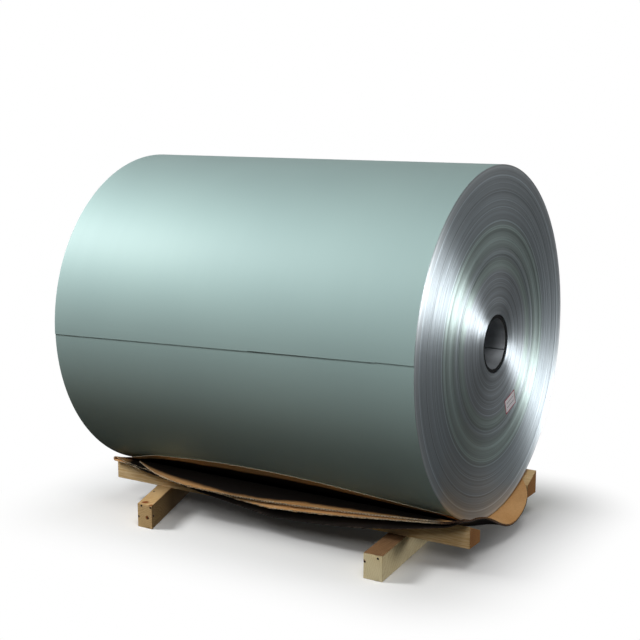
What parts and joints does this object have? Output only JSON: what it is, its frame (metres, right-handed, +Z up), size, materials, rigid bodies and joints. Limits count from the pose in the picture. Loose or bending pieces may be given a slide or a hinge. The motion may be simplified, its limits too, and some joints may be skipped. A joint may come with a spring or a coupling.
{
  "type": "aluminum coil",
  "caption": "Wide coil of coated aluminum strip on a steel core sleeve, lying on its side in corrugated board on a bevelled timber skid.",
  "frame": {"origin": "floor point under the middle of the object's box", "axes": "+X along the coil's axis towards the end that carries the label, +Y towards the rear rail, +Z up"},
  "size_m": [1.3842, 1.0479, 1.1312],
  "materials": {
    "coated_aluminium": "satin coil coating on the outer wrap, bare slit edges on the ends",
    "sleeve_steel": "rolled steel, dull",
    "rail_timber": "sawn pine",
    "bearer_timber": "sawn pine with knots",
    "corrugated_board": "brown kraft liner"
  },
  "bodies": {
    "root": {"coil": "coated_aluminium", "core_sleeve": "sleeve_steel", "rail_front": "rail_timber", "rail_rear": "rail_timber", "bearer_near": "bearer_timber", "bearer_far": "bearer_timber", "board_liner": "corrugated_board", "board_middle": "corrugated_board", "board_folded": "corrugated_board"}
  },
  "joints": []
}
